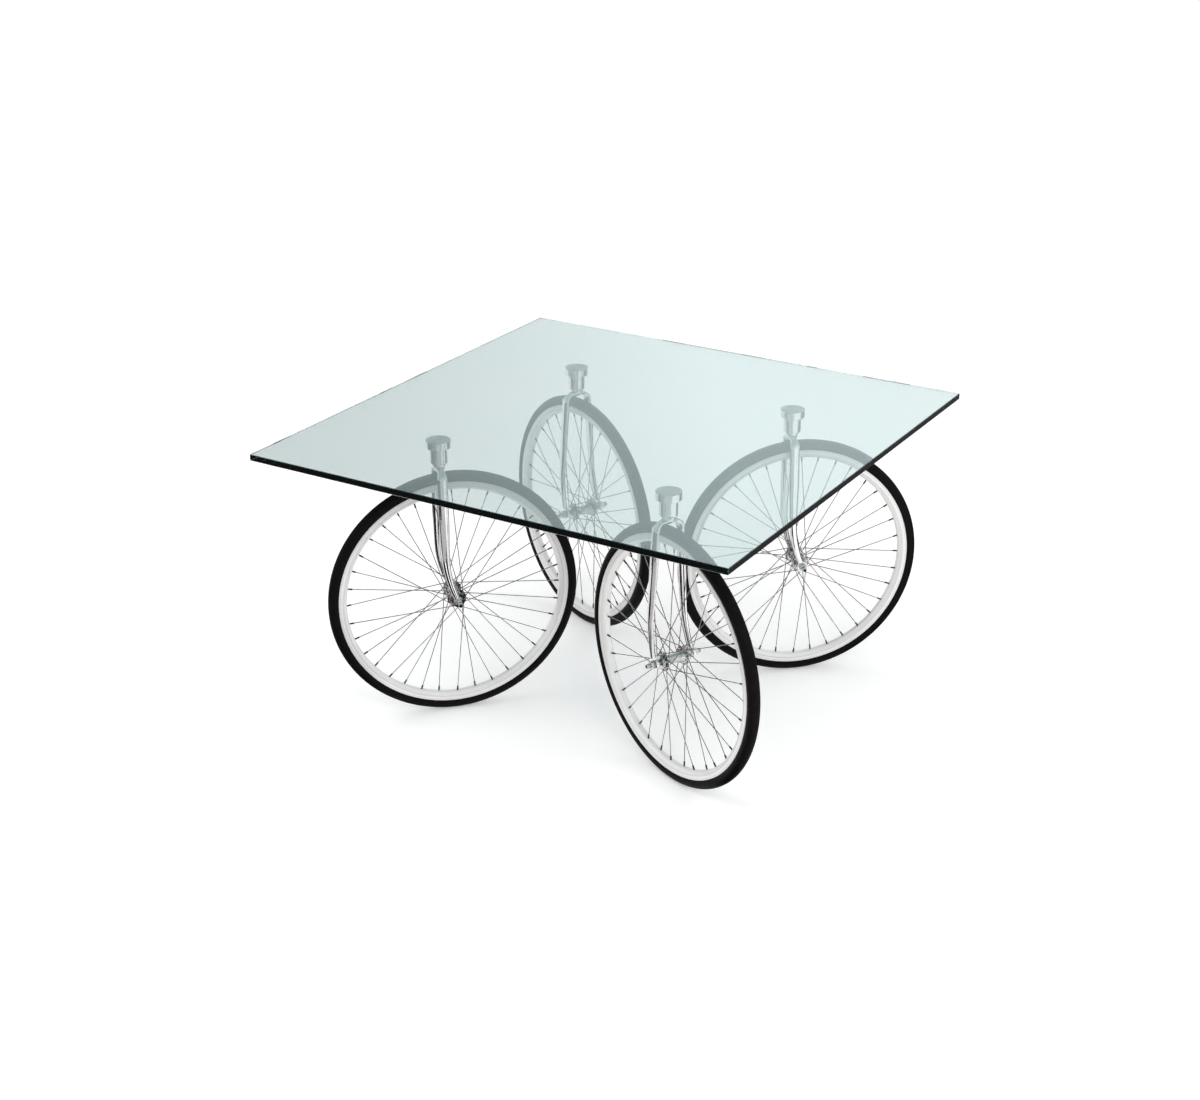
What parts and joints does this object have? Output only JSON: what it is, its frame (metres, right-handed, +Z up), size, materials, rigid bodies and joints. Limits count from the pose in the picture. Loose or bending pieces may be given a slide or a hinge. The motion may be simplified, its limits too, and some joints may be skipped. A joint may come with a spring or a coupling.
{
  "type": "table",
  "caption": "Square glass table top carried near its corners by swivelling chrome forks, each holding a spoked bicycle wheel with a black tyre.",
  "frame": {"origin": "on the floor under the centre of the glass top", "axes": "+Z up, +X along the front edge of the glass to the right, +Y from the front edge to the back edge"},
  "size_m": [1.2, 1.2, 0.69],
  "materials": {
    "glass": "clear float glass with a pale green tint and arrised edges",
    "satin_disc": "turned and satin brushed",
    "chrome": "polished chrome plate",
    "bearing_steel": "ground steel",
    "axle_steel": "threaded steel",
    "hub_metal": "polished",
    "spoke_steel": "drawn wire, bright",
    "nipple_brass": "dulled brass",
    "rim_alloy": "polished alloy",
    "tyre_rubber": "black rubber with fine tread ribs"
  },
  "bodies": {
    "table_top": {"glass_top": "glass", "mounting_disc_front_left": "satin_disc", "mounting_disc_front_right": "satin_disc", "mounting_disc_rear_left": "satin_disc", "mounting_disc_rear_right": "satin_disc", "swivel_cup_front_left": "chrome", "swivel_cup_front_right": "chrome", "swivel_cup_rear_left": "chrome", "swivel_cup_rear_right": "chrome", "swivel_bearings": "bearing_steel"},
    "fork_front_left": {"swivel_spindle_front_left": "bearing_steel", "crown_race_front_left": "chrome", "fork_crown_front_left": "chrome", "fork_blades_front_left": "chrome", "fork_ends_front_left": "chrome", "axle_front_left": "axle_steel", "axle_hardware_front_left": "chrome"},
    "wheel_front_left": {"hub_front_left": "hub_metal", "spokes_front_left": "spoke_steel", "nipples_front_left": "nipple_brass", "rim_front_left": "rim_alloy", "tyre_front_left": "tyre_rubber"},
    "fork_front_right": {"swivel_spindle_front_right": "bearing_steel", "crown_race_front_right": "chrome", "fork_crown_front_right": "chrome", "fork_blades_front_right": "chrome", "fork_ends_front_right": "chrome", "axle_front_right": "axle_steel", "axle_hardware_front_right": "chrome"},
    "wheel_front_right": {"hub_front_right": "hub_metal", "spokes_front_right": "spoke_steel", "nipples_front_right": "nipple_brass", "rim_front_right": "rim_alloy", "tyre_front_right": "tyre_rubber"},
    "fork_rear_left": {"swivel_spindle_rear_left": "bearing_steel", "crown_race_rear_left": "chrome", "fork_crown_rear_left": "chrome", "fork_blades_rear_left": "chrome", "fork_ends_rear_left": "chrome", "axle_rear_left": "axle_steel", "axle_hardware_rear_left": "chrome"},
    "wheel_rear_left": {"hub_rear_left": "hub_metal", "spokes_rear_left": "spoke_steel", "nipples_rear_left": "nipple_brass", "rim_rear_left": "rim_alloy", "tyre_rear_left": "tyre_rubber"},
    "fork_rear_right": {"swivel_spindle_rear_right": "bearing_steel", "crown_race_rear_right": "chrome", "fork_crown_rear_right": "chrome", "fork_blades_rear_right": "chrome", "fork_ends_rear_right": "chrome", "axle_rear_right": "axle_steel", "axle_hardware_rear_right": "chrome"},
    "wheel_rear_right": {"hub_rear_right": "hub_metal", "spokes_rear_right": "spoke_steel", "nipples_rear_right": "nipple_brass", "rim_rear_right": "rim_alloy", "tyre_rear_right": "tyre_rubber"}
  },
  "joints": [
    {"name": "swivel_front_left", "type": "hinge", "parent": "table_top", "child": "fork_front_left", "pos_m": [-0.3, -0.3, 0.638], "axis": [0, 0, 1], "continuous": true},
    {"name": "wheel_spin_front_left", "type": "hinge", "parent": "fork_front_left", "child": "wheel_front_left", "pos_m": [-0.28243, -0.28083, 0.298], "axis": [-0.7373, 0.6756, 0], "continuous": true},
    {"name": "swivel_front_right", "type": "hinge", "parent": "table_top", "child": "fork_front_right", "pos_m": [0.3, -0.3, 0.638], "axis": [0, 0, 1], "continuous": true},
    {"name": "wheel_spin_front_right", "type": "hinge", "parent": "fork_front_right", "child": "wheel_front_right", "pos_m": [0.32362, -0.31086, 0.298], "axis": [0.4179, 0.9085, 0], "continuous": true},
    {"name": "swivel_rear_left", "type": "hinge", "parent": "table_top", "child": "fork_rear_left", "pos_m": [-0.3, 0.3, 0.638], "axis": [0, 0, 1], "continuous": true},
    {"name": "wheel_spin_rear_left", "type": "hinge", "parent": "fork_rear_left", "child": "wheel_rear_left", "pos_m": [-0.27644, 0.28901, 0.298], "axis": [0.4226, 0.9063, 0], "continuous": true},
    {"name": "swivel_rear_right", "type": "hinge", "parent": "table_top", "child": "fork_rear_right", "pos_m": [0.3, 0.3, 0.638], "axis": [0, 0, 1], "continuous": true},
    {"name": "wheel_spin_rear_right", "type": "hinge", "parent": "fork_rear_right", "child": "wheel_rear_right", "pos_m": [0.31962, 0.31706, 0.298], "axis": [-0.6561, 0.7547, 0], "continuous": true}
  ]
}
